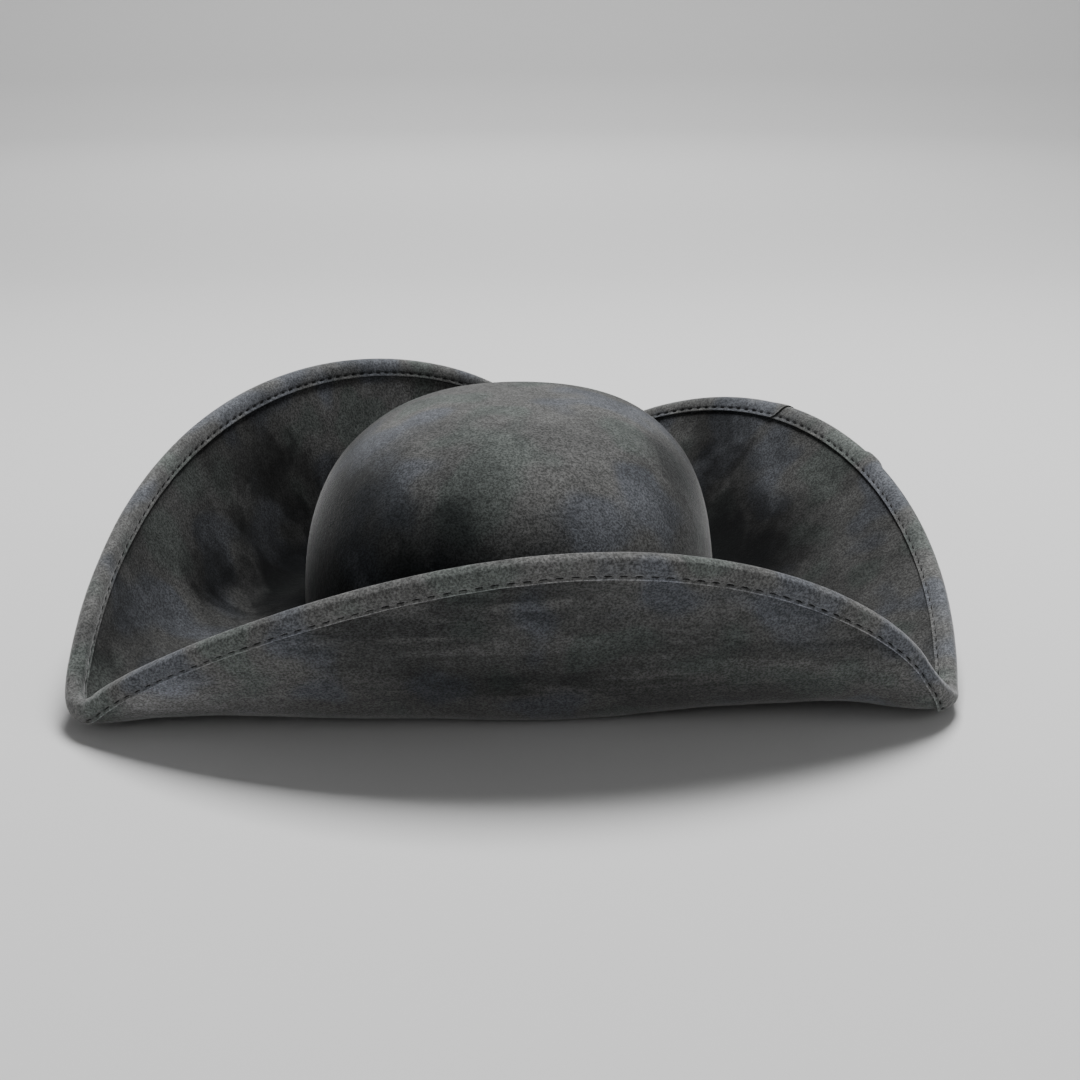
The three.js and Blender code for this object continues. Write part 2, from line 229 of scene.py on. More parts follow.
# ---- meshes ----
def grid_faces(rows, columns, loop_rows=False, loop_columns=False):
    """Quads of a grid of rows x columns points, joined up where it loops."""
    i = np.arange(rows if loop_rows else rows - 1)
    j = np.arange(columns if loop_columns else columns - 1)
    i, j = np.meshgrid(i, j, indexing="ij")
    next_i = (i + 1) % rows
    next_j = (j + 1) % columns
    quads = [i * columns + j, i * columns + next_j, next_i * columns + next_j,
             next_i * columns + j]
    return np.stack(quads, axis=-1).reshape(-1, 4).tolist()


def end_caps(rows, size):
    """Faces that close the first and last row of a tube."""
    last = [(rows - 1) * size + i for i in reversed(range(size))]
    return [list(range(size)), last]


def around(columns):
    return np.linspace(0.0, 2.0 * math.pi, columns, endpoint=False)


def make_piece(name, points, faces, material, replaces, nap_and_painted_light=None):
    """A smooth mesh piece from points in mm, riding on the hat."""
    mesh = bpy.data.meshes.new(name)
    mesh.from_pydata((points.reshape(-1, 3) * MM).tolist(), [], faces)
    mesh.polygons.foreach_set("use_smooth", [True] * len(mesh.polygons))
    mesh.materials.append(material)
    if nap_and_painted_light is not None:
        attribute = mesh.attributes.new("nap_and_painted_light", "FLOAT", "POINT")
        attribute.data.foreach_set("value", nap_and_painted_light.astype(np.float32).ravel())
    mesh.update()
    piece = bpy.data.objects.new(name, mesh)
    bpy.context.scene.collection.objects.link(piece)
    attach(piece, "root")
    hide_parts(*replaces)
    return piece


# ---- materials ----
class Nodes:
    """A short way to write a node material."""

    def __init__(self, name):
        self.material = bpy.data.materials.new(name)
        self.material.use_nodes = True
        self.tree = self.material.node_tree
        self.shader = self.tree.nodes["Principled BSDF"]
        self.place = self.add("ShaderNodeTexCoord").outputs["Object"]

    def add(self, kind, **settings):
        node = self.tree.nodes.new(kind)
        for key, value in settings.items():
            setattr(node, key, value)
        return node

    def feed(self, value, socket):
        """Links a socket, or sets a plain value."""
        if isinstance(value, bpy.types.NodeSocket):
            self.tree.links.new(value, socket)
        else:
            socket.default_value = value

    def stretched(self, scale):
        """Object coordinates scaled by three factors."""
        mapping = self.add("ShaderNodeMapping")
        mapping.inputs["Scale"].default_value = scale
        self.feed(self.place, mapping.inputs["Vector"])
        return mapping.outputs["Vector"]

    def noise(self, size_mm, vector=None, detail=3.0, roughness=0.5, distortion=0.0):
        node = self.add("ShaderNodeTexNoise")
        node.inputs["Scale"].default_value = 1.0 / (size_mm * MM)
        node.inputs["Detail"].default_value = detail
        node.inputs["Roughness"].default_value = roughness
        node.inputs["Distortion"].default_value = distortion
        self.feed(vector or self.place, node.inputs["Vector"])
        return node.outputs["Fac"]

    def specks(self, size_mm, radius_mm, share):
        """Rare small dots: 1 inside a dot and 0 elsewhere."""
        node = self.add("ShaderNodeTexVoronoi")
        node.inputs["Scale"].default_value = 1.0 / (size_mm * MM)
        self.feed(self.place, node.inputs["Vector"])
        near = self.math("LESS_THAN", node.outputs["Distance"], radius_mm / size_mm)
        pick = self.add("ShaderNodeSeparateColor")
        self.feed(node.outputs["Color"], pick.inputs[0])
        return self.math("MULTIPLY", near, self.math("LESS_THAN", pick.outputs[0], share))

    def attribute(self, name):
        return self.add("ShaderNodeAttribute", attribute_name=name).outputs["Fac"]

    def ramp(self, source, low, high, to_low=0.0, to_high=1.0):
        """Rescales a value so that low becomes to_low and high becomes to_high."""
        node = self.add("ShaderNodeMapRange", interpolation_type="SMOOTHSTEP")
        values = (source, low, high, to_low, to_high)
        for value, socket in zip(values, node.inputs):
            self.feed(value, socket)
        return node.outputs["Result"]

    def mix(self, factor, first, second, blend="MIX"):
        """Mixes two colours, each a socket or a colour."""
        node = self.add("ShaderNodeMix", data_type="RGBA", blend_type=blend)
        for value, index in ((factor, 0), (first, 6), (second, 7)):
            self.feed(value, node.inputs[index])
        return node.outputs[2]

    def math(self, operation, first, second, third=0.0):
        node = self.add("ShaderNodeMath", operation=operation)
        for value, socket in zip((first, second, third), node.inputs):
            self.feed(value, socket)
        return node.outputs[0]

    def bump(self, height, distance_mm, strength=1.0, under=None):
        node = self.add("ShaderNodeBump")
        node.inputs["Strength"].default_value = strength
        node.inputs["Distance"].default_value = distance_mm * MM
        self.feed(height, node.inputs["Height"])
        if under:
            self.feed(under, node.inputs["Normal"])
        return node.outputs["Normal"]

    def finish(self, colour, normal, roughness, sheen=0.0, sheen_roughness=0.5,
               specular=0.2):
        self.feed(colour, self.shader.inputs["Base Color"])
        self.feed(normal, self.shader.inputs["Normal"])
        self.feed(roughness, self.shader.inputs["Roughness"])
        self.shader.inputs["Sheen Weight"].default_value = sheen
        self.shader.inputs["Sheen Roughness"].default_value = sheen_roughness
        self.shader.inputs["Specular IOR Level"].default_value = specular
        return self.material


def grey(value, tint=(1.0, 1.0, 1.0)):
    return (value * tint[0], value * tint[1], value * tint[2], 1.0)


def darker(colour, share):
    return tuple(c * share for c in colour[:3]) + (1.0,)


COOL = (0.86, 1.0, 1.08)
BLUE = (0.92, 0.97, 1.10)
GREEN = (0.93, 1.02, 0.985)
WARM = (1.0, 1.0, 0.98)


def suede(name, dark, light, streak=(1.0, 1.0, 1.0), mottle=1.0, sheen=0.5):
    """Charcoal suede: nap brushed into patches, smudges with a crisp side, fine grain.

    The piece's own attribute adds to the patches: below 0 for flattened dark nap and for painted
    shade, above 0 for raised light nap and for painted light.
    """
    nodes = Nodes(name)
    place = nodes.stretched(streak)
    clouds = nodes.ramp(nodes.noise(62, place, 1.0, 0.5, 0.2), 0.34, 0.66)
    smudges = nodes.ramp(nodes.noise(26, place, 2.0, 0.5, 0.35), 0.47, 0.56)
    strokes = nodes.ramp(nodes.noise(9, place, 2.0, 0.5, 0.2), 0.35, 0.70)
    grain = nodes.noise(0.9, None, 3.0, 0.75)
    pile = nodes.noise(3.2, None, 2.0, 0.6)
    nap_and_painted_light = nodes.math("MULTIPLY_ADD", clouds, 0.32, 0.26 - 0.15 * mottle)
    nap_and_painted_light = nodes.math("MULTIPLY_ADD", smudges, 0.24 * mottle, nap_and_painted_light)
    nap_and_painted_light = nodes.math("MULTIPLY_ADD", strokes, 0.16 * mottle, nap_and_painted_light)
    nap_and_painted_light = nodes.math("ADD", nap_and_painted_light, nodes.attribute("nap_and_painted_light"))
    tone = nodes.mix(nodes.ramp(nap_and_painted_light, -0.45, 1.0), grey(dark, COOL), grey(light, WARM))
    # Above 1.1 the tone goes lighter still: the fuzz of the tape's raw edge, and painted light
    # on the front flap's lit corner.
    tone = nodes.mix(nodes.ramp(nap_and_painted_light, 1.1, 2.0), tone, grey(2.2 * light))
    hue = nodes.noise(34, None, 1.0)
    tone = nodes.mix(nodes.ramp(hue, 0.52, 0.64), tone,
                     nodes.mix(1.0, tone, grey(1.0, BLUE), "MULTIPLY"))
    tone = nodes.mix(nodes.ramp(hue, 0.46, 0.36), tone,
                     nodes.mix(1.0, tone, grey(1.0, GREEN), "MULTIPLY"))
    speckle = nodes.ramp(grain, 0.38, 0.62, 0.56, 1.44)
    speckle = nodes.math("MULTIPLY", speckle, nodes.ramp(pile, 0.3, 0.7, 0.86, 1.12))
    tone = nodes.mix(1.0, tone, speckle, "MULTIPLY")
    lint = nodes.specks(9.0, 0.22, 0.012)
    tone = nodes.mix(lint, tone, grey(0.85))
    normal = nodes.bump(nap_and_painted_light, 0.12)
    normal = nodes.bump(pile, 0.16, 1.0, normal)
    normal = nodes.bump(grain, 0.22, 1.0, normal)
    return nodes.finish(tone, normal, 0.95, sheen=sheen, sheen_roughness=0.32,
                        specular=0.08)


def woven(name, colour, rib_mm, direction, roughness, sheen=0.1, specular=0.2):
    """A ribbed or fine weave, for ribbon, lining and label."""
    nodes = Nodes(name)
    wave = nodes.add("ShaderNodeTexWave", wave_type="BANDS", bands_direction=direction)
    wave.inputs["Scale"].default_value = 0.314 / (rib_mm * MM)
    wave.inputs["Distortion"].default_value = 0.4
    nodes.feed(nodes.place, wave.inputs["Vector"])
    ribs = wave.outputs["Fac"]
    wear = nodes.ramp(nodes.noise(30, None, 3.0), 0.35, 0.7)
    tone = nodes.mix(wear, colour, darker(colour, 1.35))
    tone = nodes.mix(nodes.math("MULTIPLY", ribs, 0.4), tone, darker(colour, 0.45))
    threads = nodes.noise(0.6, None, 2.0)
    normal = nodes.bump(threads, 0.1, 0.6, nodes.bump(ribs, 0.2))
    return nodes.finish(tone, normal, roughness, sheen=sheen, specular=specular)


def plain(name, colour, roughness, metallic=0.0, bump_mm=0.05, grain_mm=1.0):
    """A solid stuff with a faint grain: felted core, wire, thread, plastic cord."""
    nodes = Nodes(name)
    grain = nodes.noise(grain_mm, None, 3.0, 0.6)
    tone = nodes.mix(nodes.ramp(grain, 0.3, 0.7), colour, darker(colour, 0.7))
    nodes.shader.inputs["Metallic"].default_value = metallic
    return nodes.finish(tone, nodes.bump(grain, bump_mm), roughness)


CROWN_SUEDE = suede("crown_suede", 0.008, 0.090, (1.0, 1.0, 0.9), 0.6, sheen=0.20)
# The inner faces' suede is a darker copy of the same suede: painted shade for the inside of the
# flaps.
BRIM_UPPER_SUEDE = suede("brim_upper_suede", 0.002, 0.058, (1.0, 1.0, 0.8), 0.9, sheen=0.12)
BRIM_UNDER_SUEDE = suede("brim_under_suede", 0.010, 0.120, (0.45, 0.9, 1.9), 0.9, sheen=0.4)
BINDING_SUEDE = suede("binding_suede", 0.012, 0.104, sheen=0.4)
THREAD = plain("thread", grey(0.006), 0.9)
SATIN = woven("lining_satin", (0.014, 0.015, 0.019, 1.0), 0.5, "DIAGONAL", 0.38,
              specular=0.5)
GROSGRAIN = woven("sweatband_ribbon", (0.030, 0.026, 0.022, 1.0), 1.2, "DIAGONAL", 0.8)
LABEL_CLOTH = woven("label_cloth", (0.62, 0.61, 0.58, 1.0), 0.5, "Z", 0.8)
CORE = plain("stiffener_felt", grey(0.03), 0.95, bump_mm=0.2, grain_mm=1.5)
STEEL = plain("wire_steel", (0.5, 0.5, 0.52, 1.0), 0.35, metallic=1.0)
REED_PLASTIC = plain("reed_cord", (0.6, 0.58, 0.52, 1.0), 0.6)


# ---- brushed marks in the nap, and painted light and shade ----
def mark(points, centre, reach, strength, crisp=1.0):
    """One soft oval patch of nap tone or of painted light and shade. A crisp patch has a sharper
    side.
    """
    offset = (points - np.array(centre)) / np.array(reach)
    distance = np.linalg.norm(offset, axis=-1)
    return strength * (1.0 - smoothstep((distance - 1.0 + 0.5 / crisp) * crisp))


def nap_and_light_patches(points, marks):
    """The sum of several marks, with wavering outlines."""
    waver = np.stack([wave_noise(points, 24.0, seed) for seed in (11.0, 23.0, 37.0)], axis=-1)
    wavered = points + 9.0 * waver
    return sum(mark(wavered, *values) for values in marks)


# Larger dark and light areas of nap, many of them painted light and shade: centre, reach,
# strength, crispness.
CROWN_NAP_AND_PAINTED_LIGHT = (
    # Painted light: the crown's top lighter, as if lit from above.
    ((0.0, -5.0, 100.0), (66.0, 80.0, 22.0), 0.24, 0.7),
    # Painted shade: the crown's lower left darker, where shade falls.
    ((-66.0, -66.0, 42.0), (52.0, 52.0, 34.0), -0.62, 1.0),
    ((-5.0, -96.0, 54.0), (40.0, 30.0, 18.0), -0.34, 1.2),
    ((46.0, -80.0, 58.0), (20.0, 24.0, 22.0), 0.40, 1.3),
    # Painted shade: the crown's right edge darker, against its bright rim.
    ((78.0, -36.0, 56.0), (18.0, 40.0, 34.0), -0.42, 0.8),
    # Painted shade: the crown's left side darker.
    ((-80.0, 0.0, 62.0), (26.0, 70.0, 34.0), -0.30, 0.8),
    ((10.0, 90.0, 50.0), (50.0, 30.0, 24.0), -0.30, 1.0),
)
UPPER_NAP_AND_PAINTED_SHADE = (
    # Painted shade: dark troughs where the crown meets the two rear flaps and the left flap.
    ((-100.0, 52.0, 8.0), (30.0, 50.0, 34.0), -0.95, 0.4),
    ((103.0, 60.0, 8.0), (24.0, 54.0, 34.0), -0.85, 0.4),
    ((-90.0, 8.0, 4.0), (14.0, 60.0, 12.0), -0.4, 0.6),
    ((-132.0, 3.0, 22.0), (14.0, 18.0, 16.0), -0.35, 1.5),
    ((-128.0, -36.0, 6.0), (30.0, 30.0, 14.0), -0.10, 1.0),
    ((-70.0, 130.0, 66.0), (50.0, 50.0, 24.0), 0.85, 0.9),
    ((90.0, 126.0, 36.0), (15.0, 22.0, 26.0), -0.05, 1.6),
    ((133.0, 84.0, 46.0), (24.0, 30.0, 18.0), 0.30, 1.5),
    # Painted shade: the crease between the crown and the front flap.
    ((0.0, -116.0, 8.0), (90.0, 22.0, 14.0), -0.45, 0.8),
)
UNDER_NAP_AND_PAINTED_LIGHT = (
    # Painted shade: the front flap darker in its middle.
    ((5.0, -156.0, 44.0), (76.0, 40.0, 26.0), -0.18, 0.7),
    ((105.0, -142.0, 28.0), (48.0, 40.0, 22.0), -0.08, 0.8),
    # Painted light: the front flap's lower left corner lit from the left front.
    ((-115.0, -139.0, 14.0), (62.0, 48.0, 26.0), 1.2, 0.7),
    ((150.0, -118.0, 10.0), (34.0, 40.0, 14.0), 0.60, 0.7),
    ((-40.0, -140.0, 6.0), (50.0, 40.0, 10.0), 0.20, 0.8),
)


# ---- brim layers ----
BRIM_ROWS = 52


def closed_shell(name, outer, inner, loop_rows, material, replaces, nap_and_painted_light=None):
    """A thin body between two grids of points; both ends are capped unless it loops."""
    points = np.concatenate([outer, inner[:, ::-1]], axis=1)
    rows, size = points.shape[:2]
    faces = grid_faces(rows, size, loop_rows=loop_rows, loop_columns=True)
    if not loop_rows:
        faces += end_caps(rows, size)
    if nap_and_painted_light is not None:
        nap_and_painted_light = np.concatenate([nap_and_painted_light, nap_and_painted_light[:, ::-1]], axis=1)
    return make_piece(name, points, faces, material, replaces, nap_and_painted_light)


def brim_grid():
    """The middle surface of the brim with its up directions, for all of its layers."""
    along = even_run(0.0, 3.0, 2.6)[:-1]
    _, reach = across_by_distance(along, np.zeros((len(along), 1)))
    distances = reach[:, None] * np.linspace(1.0, 0.0, BRIM_ROWS)[None]
    across, _ = across_by_distance(along, distances)
    centre, _, up = brim_frames(along, across)
    ripple = 0.8 * wave_noise(centre, 55.0) + 0.3 * wave_noise(centre, 17.0, 5.0)
    ripple *= smoothstep((distances - 5.0) / 14.0)
    ripple *= smoothstep((reach[:, None] - distances) / 12.0)
    return centre + up * ripple[..., None], up


def brim_layer(name, grid, skins, material, replaces, marks=(), lowest=0.0):
    """One layer of the brim, pressed flat where it would pass through the table."""
    centre, up = grid
    top, bottom = (centre + up * depth for depth in skins)
    bottom[..., 2] = np.maximum(bottom[..., 2], lowest)
    top[..., 2] = np.maximum(top[..., 2], lowest + 0.2)
    nap_and_painted_light = nap_and_light_patches(centre, marks) if marks else None
    return closed_shell(name, top, bottom, True, material, replaces, nap_and_painted_light)


# ---- edge binding ----
def binding_section():
    """Inset, beyond and depth of the tape's outer skin, from one raw edge to the other."""
    insets = (BINDING_COVER, 4.27, 4.0, 3.65, 3.2, 2.8, 2.45, 2.1, 1.6, 0.9, 0.3)
    flat = [(inset, 0.0, 1.0) for inset in insets]
    turn = np.linspace(0.0, math.pi / 2.0, 7)[1:-1]
    round_part = [(0.0, BINDING_TIP * math.sin(t), math.cos(t) ** 0.8) for t in turn]
    upper = flat + round_part + [(0.0, BINDING_TIP, 0.0)]
    lower = [(inset, beyond, -depth) for inset, beyond, depth in reversed(upper[:-1])]
    return np.array(upper + lower)


def in_dash(length):
    """1 in the middle of each visible stitch and 0 between stitches."""
    from_middle = np.abs((length / STITCH_PITCH) % 1.0 - 0.5) * STITCH_PITCH
    return np.exp(-(from_middle / (0.5 * DASH_LENGTH)) ** 4)


def puffed(centre):
    """How much the tape swells and sinks along its run."""
    return 0.18 * wave_noise(centre, 9.0, 3.0) + 0.25 * wave_noise(centre, 40.0, 8.0)


def binding_skin(along, length, shrink):
    """Points of one skin of the tape, `shrink` mm inside the outer one, and its nap with painted
    light and shade.
    """
    insets, beyonds, depths = binding_section().T
    shape = (len(along), len(insets))
    across, _ = across_by_distance(along, np.broadcast_to(insets, shape))
    centre, outwards, up = brim_frames(along, across)
    from_row = insets - STITCH_INSET
    on_face = beyonds == 0.0
    furrow = FURROW * np.exp(-(from_row / 0.8) ** 2) * on_face
    hole = in_dash(length)[:, None] * np.exp(-(from_row / 0.5) ** 2) * on_face
    hole = hole * np.where(depths > 0.0, INNER_DIMPLES, 1.0)
    raw_edge = np.exp(-((insets - BINDING_COVER) / 0.45) ** 2) * on_face
    lap = 1.0 - smoothstep(length / LAP_LENGTH)
    depth = BINDING_DEPTH - shrink + LAP_RISE * lap[:, None] + puffed(centre)
    depth -= furrow + DIMPLE * hole + 0.12 * raw_edge
    depth = np.maximum(depth, BINDING_LEAST_DEPTH[0 if shrink else 1])
    from_ferrule = (along[:, None] - FERRULE_AT + 1.5) % 3.0 - 1.5
    kink = KINK_HEIGHT * np.exp(-(from_ferrule / KINK_HALF_RUN) ** 6)
    reach = 1.0 - (shrink - 0.5 * lap[:, None] - kink) / BINDING_TIP
    points = centre + outwards * (beyonds * reach)[..., None] + up * (depths * depth)[..., None]
    outer_face = depths < 0.0
    # Painted light and shade on the tape: its inner face darker than its outer one, a painted
    # highlight rising to the rolled fold, painted shade in the stitch dimples and the furrow.
    # The raw edge's lighter fuzz is its own colour.
    nap_and_painted_light = np.where(outer_face, 1.3, 0.2) * raw_edge + np.where(outer_face, 0.5, 0.12)
    nap_and_painted_light = nap_and_painted_light + 0.15 * np.sin(beyonds / 3.0) - 1.1 * hole - 0.12 * furrow
    return points, nap_and_painted_light


def cut_slanting(points, length, nap_and_painted_light):
    """Shifts the lapped end along the tape so that its cut runs at a slant."""
    fade = 1.0 - smoothstep(length / SLANT_LENGTH)
    for j in range(points.shape[1]):
        face = abs(2.0 * j / (points.shape[1] - 1) - 1.0)
        wanted = length + SLANT * face * fade
        for k in range(3):
            points[:, j, k] = np.interp(wanted, length, points[:, j, k])
        nap_and_painted_light[:, j] = np.interp(wanted, length, nap_and_painted_light[:, j])
    return points, nap_and_painted_light


def edge_binding():
    """The folded tape, lapped over its own end on one rear flap."""
    along, length = stitched_run(JOIN_AT + 3.03)
    outer, nap_and_painted_light = binding_skin(along, length, 0.0)
    inner, inner_nap_and_painted_light = binding_skin(along, length, BINDING_THICKNESS)
    outer, nap_and_painted_light = cut_slanting(outer, length, nap_and_painted_light)
    inner, _ = cut_slanting(inner, length, inner_nap_and_painted_light)
    tape = closed_shell("binding_tape", outer, inner, False, BINDING_SUEDE,
                        ("edge_binding",), nap_and_painted_light)


def stitch_row(name, side, replaces):
    """Thread along the tape: each stitch shows in its dimple, and runs inside between."""
    along, length = stitched_run(JOIN_AT + 2.995)
    across, _ = across_by_distance(along, np.full((len(along), 1), STITCH_INSET))
    centre, outwards, up = (v[:, 0] for v in brim_frames(along, across))
    shown = INNER_DIMPLES if side > 0 else 1.0
    shows_at = max(BINDING_DEPTH - FURROW - DIMPLE * shown, BINDING_LEAST_DEPTH[1]) + 0.1
    height = THREAD_HIDDEN_AT + (shows_at - THREAD_HIDDEN_AT) * in_dash(length)
    height = np.maximum(height + puffed(centre), UPPER_SUEDE[0] + THREAD_RADIUS + 0.05)
    path = centre + up * (side * height)[:, None]
    turn = around(THREAD_SIDES)
    ring = (np.cos(turn)[None, :, None] * outwards[:, None]
            + np.sin(turn)[None, :, None] * up[:, None])
    points = path[:, None] + THREAD_RADIUS * ring
    faces = grid_faces(len(along), THREAD_SIDES, loop_columns=True)
    faces += end_caps(len(along), THREAD_SIDES)
    return make_piece(name, points, faces, THREAD, replaces)


# ---- crown ----
def dome_points(azimuth, rise, depth):
    """Points of the dome for arrays azimuth (n) and rise (m), as in the CAD part."""
    turn = rise * math.pi / 2.0
    narrowing = np.cos(turn) ** CROWN_SIDE_FULLNESS
    height = (CROWN_HEIGHT - depth) * np.sin(turn) ** CROWN_TOP_FULLNESS
    lean = CROWN_LEAN * (height / CROWN_HEIGHT) ** 2
    radius = oval_radius(azimuth, depth)[:, None] * narrowing[None]
    x = radius * np.cos(azimuth)[:, None] + lean[None]
    y = radius * np.sin(azimuth)[:, None]
    z = np.broadcast_to(CROWN_BASE_Z + height, x.shape)
    return np.stack([x, y, z], axis=-1)


def even_rises(start, end, count):
    """Rises evenly spaced along the dome's curve."""
    rough = np.linspace(start, end, 2001)
    length = running_length(dome_points(np.array([0.0]), rough, 0.0)[0])
    return np.interp(np.linspace(0.0, length[-1], count), length, rough)


NEAR_TOP = 0.998  # rise of the last row of points round the dome's top


def dome_shell(name, azimuth, outer, inner, material, replaces, nap_and_painted_light=None):
    """A cap between two grids whose last rows run round the top, closed by two fans."""
    columns, rows = outer.shape[:2]
    points = np.concatenate([inner[:, ::-1], outer], axis=1)
    size = 2 * rows
    faces = grid_faces(columns, size, loop_rows=True)
    tops = [inner[:, -1].mean(axis=0), outer[:, -1].mean(axis=0)]
    first = columns * size
    for i in range(columns):
        k = (i + 1) % columns
        faces.append([i * size, k * size, first])
        faces.append([k * size + size - 1, i * size + size - 1, first + 1])
    everything = np.concatenate([points.reshape(-1, 3), tops])
    if nap_and_painted_light is not None:
        nap_and_painted_light = np.concatenate([nap_and_painted_light[:, ::-1], nap_and_painted_light], axis=1).ravel()
        nap_and_painted_light = np.concatenate([nap_and_painted_light, [nap_and_painted_light[0], nap_and_painted_light[size - 1]]])
    return make_piece(name, everything, faces, material, replaces, nap_and_painted_light)


def crown_layer(name, depths, columns, rows, material, replaces, marks=()):
    """One layer of the crown, with the same gentle dents as its neighbours."""
    azimuth = around(columns)
    rise = even_rises(0.0, NEAR_TOP, rows)
    skins = []
    for depth in depths:
        points = dome_points(azimuth, rise, depth)
        dents = 0.8 * wave_noise(points, 60.0, 2.0) + 0.25 * wave_noise(points, 22.0, 7.0)
        outwards = unit(points - np.array([0.0, 0.0, CROWN_BASE_Z + 20.0]))
        skins.append(points + outwards * (dents * smoothstep(rise / 0.2))[..., None])
    nap_and_painted_light = nap_and_light_patches(skins[0], marks) if marks else None
    return dome_shell(name, azimuth, skins[0], skins[1], material, replaces, nap_and_painted_light)


# ---- inside of the hat ----
LINING_SPLIT = 0.75  # rise at which the gathered side meets the flat tip
PLEATS = 44
LINING_DEPTH = 3.9
LINING_THICKNESS = 0.3


def lining_depth(azimuth, rise):
    """Depth of the lining inside the crown: it stands off more where it is gathered."""
    gather = smoothstep((rise - 0.2) / 0.5)
    pleats = 0.5 - 0.5 * np.cos(PLEATS * azimuth[:, None] + 2.0 * np.sin(3.0 * azimuth)[:, None])
    return LINING_DEPTH + (0.25 + 1.1 * pleats**2) * gather[None]


def lining_side():
    """The gathered wall of the lining, from the head opening to the tip."""
    azimuth = around(PLEATS * 12)
    rise = even_rises(0.0, LINING_SPLIT, 26)
    depth = lining_depth(azimuth, rise)
    skins = []
    span = 2.0  # mm between the two domes that the pleats are placed between
    base = dome_points(azimuth, rise, LINING_DEPTH)
    inner = dome_points(azimuth, rise, LINING_DEPTH + span)
    for extra in (0.0, LINING_THICKNESS):
        share = (depth - LINING_DEPTH + extra) / span
        skins.append(base + (inner - base) * share[..., None])
    side = closed_shell("lining_side_cloth", skins[0], skins[1], True, SATIN,
                        ("lining_side",))


def lining_tip():
    """The flat top of the lining, puckered where the side is sewn to it."""
    azimuth = around(180)
    rise = even_rises(LINING_SPLIT + 0.01, NEAR_TOP, 16)
    skins = [dome_points(azimuth, rise, depth) for depth in (4.2, 4.5)]
    pucker = np.cos(PLEATS * azimuth)[:, None] * np.exp(-(rise - rise[0]) / 0.03)[None]
    for skin in skins:
        skin[..., 2] -= 0.35 * (1.0 + pucker) + 0.5 * wave_noise(skin, 30.0, 4.0)
    tip = dome_shell("lining_tip_cloth", azimuth, skins[0], skins[1], SATIN,
                     ("lining_tip",))


def band_points(azimuth, depth, z):
    """Points round the head opening for depth and z of the same shape (n, m)."""
    radius = oval_radius(azimuth[:, None], depth)
    return np.stack([radius * np.cos(azimuth)[:, None], radius * np.sin(azimuth)[:, None],
                     np.broadcast_to(z, radius.shape)], axis=-1)


def sweatband():
    """Ribbed ribbon with a rolled lower edge and a slightly wavy upper one."""
    azimuth = around(900)
    height = np.linspace(0.0, 1.0, 22)
    lean = 2.6 * height
    waves = 0.35 * np.sin(7.0 * azimuth + 1.0) + 0.25 * np.sin(17.0 * azimuth)
    wave = waves[:, None] * (height**2)[None]
    ribs = 0.07 * np.cos(450.0 * azimuth)[:, None]
    hem = 0.25 * np.exp(-((height - 0.04) / 0.05) ** 2)
    z = 4.0 + 32.0 * height[None] + 0.5 * waves[:, None] * height[None]
    outer = band_points(azimuth, 5.0 + lean[None] + wave - hem[None] * 0.2, z)
    inner = band_points(azimuth, 6.1 + lean[None] + wave + hem[None] + ribs, z)
    band = closed_shell("sweatband_band", outer, inner, True, GROSGRAIN,
                        ("sweatband",))


def care_label():
    """A blank woven label with softly curled corners."""
    azimuth = -math.pi / 2.0 + np.linspace(-0.17, 0.17, 40)
    height = np.linspace(0.0, 1.0, 20)
    side = np.abs(np.linspace(-1.0, 1.0, 40))[:, None]
    curl = 0.9 * side**6 * (1.0 - height[None]) ** 2
    z = 12.0 + 20.0 * height[None]
    outer = band_points(azimuth, 7.5 + 1.7 * height[None] + curl, z)
    inner = band_points(azimuth, 8.0 + 1.7 * height[None] + curl, z)
    label = closed_shell("label_cloth", outer, inner, False, LABEL_CLOTH,
                         ("care_label",))


def head_ring(name, material, slot, replaces, depth, z, radius):
    """A round cord level round the head opening."""
    columns, sides = 240, 8
    azimuth = around(columns)
    size = oval_radius(azimuth, depth)
    outwards = np.stack([np.cos(azimuth), np.sin(azimuth), np.zeros_like(azimuth)], axis=-1)
    path = outwards * size[:, None] + np.array([0.0, 0.0, z])
    turn = around(sides)
    points = (path[:, None] + radius * np.cos(turn)[None, :, None] * outwards[:, None]
              + radius * np.sin(turn)[None, :, None] * np.array([0.0, 0.0, 1.0]))
    faces = grid_faces(columns, sides, loop_rows=True, loop_columns=True)
    make_piece(name, points, faces, material, replaces)


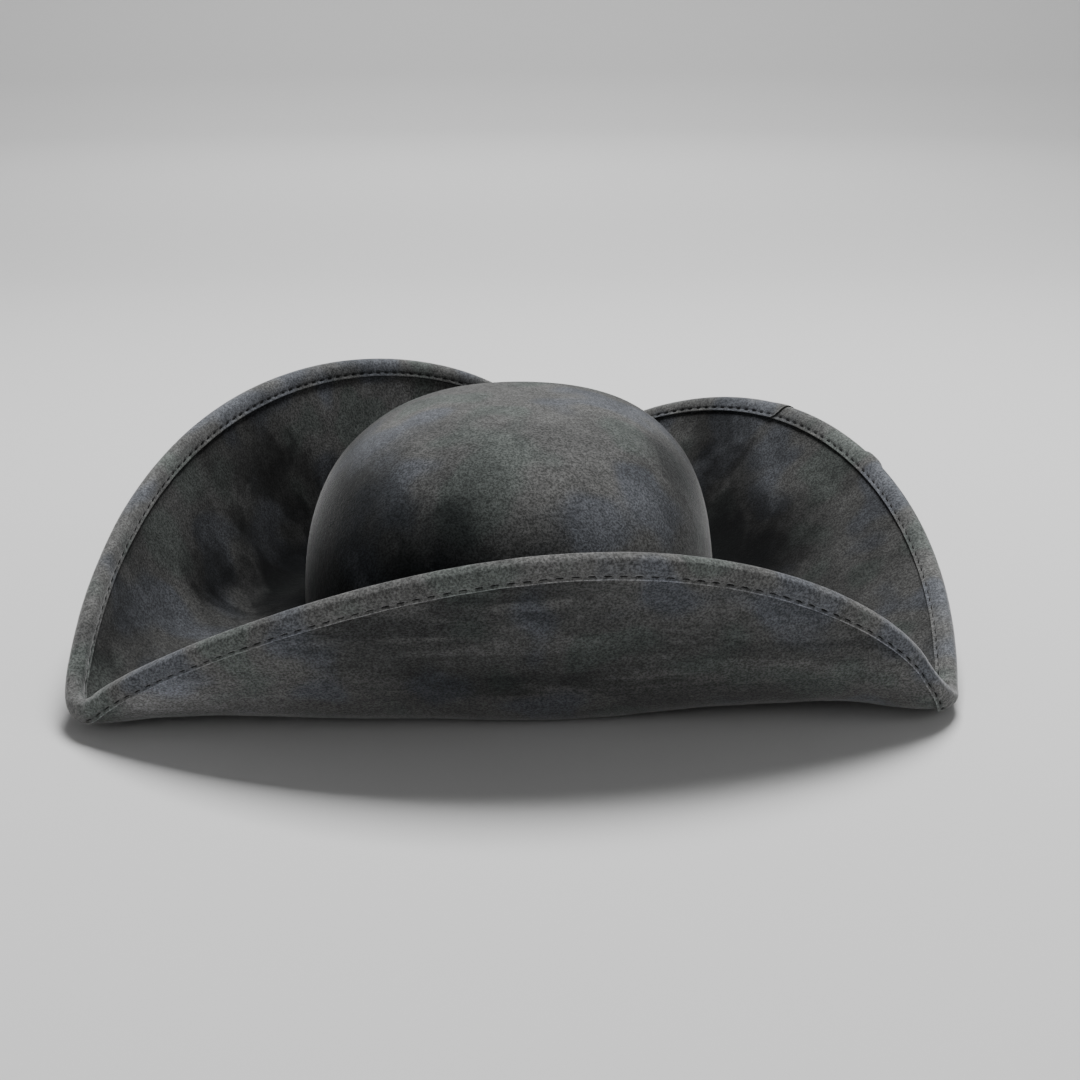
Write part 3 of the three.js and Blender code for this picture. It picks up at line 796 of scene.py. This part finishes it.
# ---- studio ----
def studio():
    """A pale round floor that runs up into a wall all round, and soft lights."""
    backdrop = Nodes("studio_paper")
    paper = backdrop.noise(2.0, None, 2.0)
    colour = backdrop.mix(backdrop.math("MULTIPLY", paper, 0.06), grey(0.60), grey(0.53))
    material = backdrop.finish(colour, backdrop.bump(paper, 0.02, 0.3), 0.9)
    mesh = bpy.data.meshes.new("floor")
    profile = [(0.02, 0.0), (2.2, 0.0), (2.7, 0.05), (3.1, 0.3), (3.4, 0.8), (3.5, 2.6)]
    columns = 64
    turns = around(columns)
    vertices = [(r * math.cos(t), r * math.sin(t), z) for t in turns for r, z in profile]
    faces = grid_faces(columns, len(profile), loop_rows=True)
    faces.append([i * len(profile) for i in range(columns)])
    mesh.from_pydata(vertices, [], faces)
    mesh.polygons.foreach_set("use_smooth", [True] * len(mesh.polygons))
    mesh.materials.append(material)
    floor = bpy.data.objects.new("floor", mesh)
    bpy.context.scene.collection.objects.link(floor)

    add_area_light("key", (0.16, 0.42, 1.5), 0.7, 48.0)
    add_area_light("fill_left", (-1.2, -1.5, 0.6), 1.0, 4.0)
    add_area_light("fill_right", (1.5, -0.9, 1.0), 1.0, 4.0)
    add_area_light("backdrop_light", (0.0, 1.6, 1.3), 1.2, 26.0, (0.0, 3.4, 0.3))
    world = bpy.data.worlds.new("studio")
    world.use_nodes = True
    world.node_tree.nodes["Background"].inputs["Color"].default_value = (1, 1, 1, 1)
    world.node_tree.nodes["Background"].inputs["Strength"].default_value = 0.16
    bpy.context.scene.world = world


def add_area_light(name, place, size, power, target=(0.0, 0.0, 0.0)):
    data = bpy.data.lights.new(name, "AREA")
    data.shape = "SQUARE"
    data.size = size
    data.energy = power
    light = bpy.data.objects.new(name, data)
    light.location = place
    light.rotation_mode = "QUATERNION"
    light.rotation_quaternion = (Vector(target) - Vector(place)).to_track_quat("-Z", "Y")
    bpy.context.scene.collection.objects.link(light)


CAMERA_DISTANCE = 0.840
CAMERA_ELEVATION = 19.63
CAMERA_TARGET = Vector((0.0134, 0.0, 0.0331))
CAMERA_ROLL = -0.20
CAMERA_LENS = 64.05


def camera():
    """A camera in front of the hat and above it, rolled a little."""
    data = bpy.data.cameras.new("camera")
    data.sensor_width = 36.0
    data.lens = CAMERA_LENS
    item = bpy.data.objects.new("camera", data)
    rise = math.radians(CAMERA_ELEVATION)
    item.location = CAMERA_DISTANCE * Vector((0.0, -math.cos(rise), math.sin(rise)))
    look = (CAMERA_TARGET - item.location).to_track_quat("-Z", "Y")
    axis = look @ Vector((0.0, 0.0, 1.0))
    item.rotation_mode = "QUATERNION"
    item.rotation_quaternion = Quaternion(axis, math.radians(CAMERA_ROLL)) @ look
    bpy.context.scene.collection.objects.link(item)
    bpy.context.scene.camera = item


def paint_kept_nodes():
    """Gives the steel CAD nodes, which stay, a finished material."""
    for name in ("brim_wire", "wire_ferrule"):
        for material_slot in bpy.data.objects[name].material_slots:
            material_slot.material = STEEL


def brim():
    """Both suede faces of the brim and the stiffener between them."""
    grid = brim_grid()
    upper = brim_layer("brim_upper_cloth", grid, UPPER_SUEDE, BRIM_UPPER_SUEDE,
                       ("brim_upper_suede",), UPPER_NAP_AND_PAINTED_SHADE)
    under = brim_layer("brim_under_cloth", grid, UNDER_SUEDE, BRIM_UNDER_SUEDE,
                       ("brim_under_suede",), UNDER_NAP_AND_PAINTED_LIGHT)
    brim_layer("brim_core", grid, STIFFENER_CORE, CORE, ("brim_stiffener",),
               lowest=0.4)


def crown():
    """The crown's suede and the stiffener under it."""
    cover = crown_layer("crown_cloth", CROWN_SUEDE_SKINS, 300, 70, CROWN_SUEDE,
                        ("crown_cover",), CROWN_NAP_AND_PAINTED_LIGHT)
    crown_layer("crown_core", CROWN_CORE_SKINS, 150, 36, CORE,
                ("crown_stiffener",))


camera()
studio()
brim()
crown()
stitch_row("stitches_inner", 1, ("binding_stitching_inner",))
stitch_row("stitches_outer", -1, ("binding_stitching_outer",))
head_ring("reed_cord", REED_PLASTIC, "reed", ("sweatband_reed",), **REED)
head_ring("sweatband_thread", THREAD, "thread", ("sweatband_stitching",), **SWEATBAND_THREAD)
edge_binding()
sweatband()
lining_side()
lining_tip()
care_label()
paint_kept_nodes()
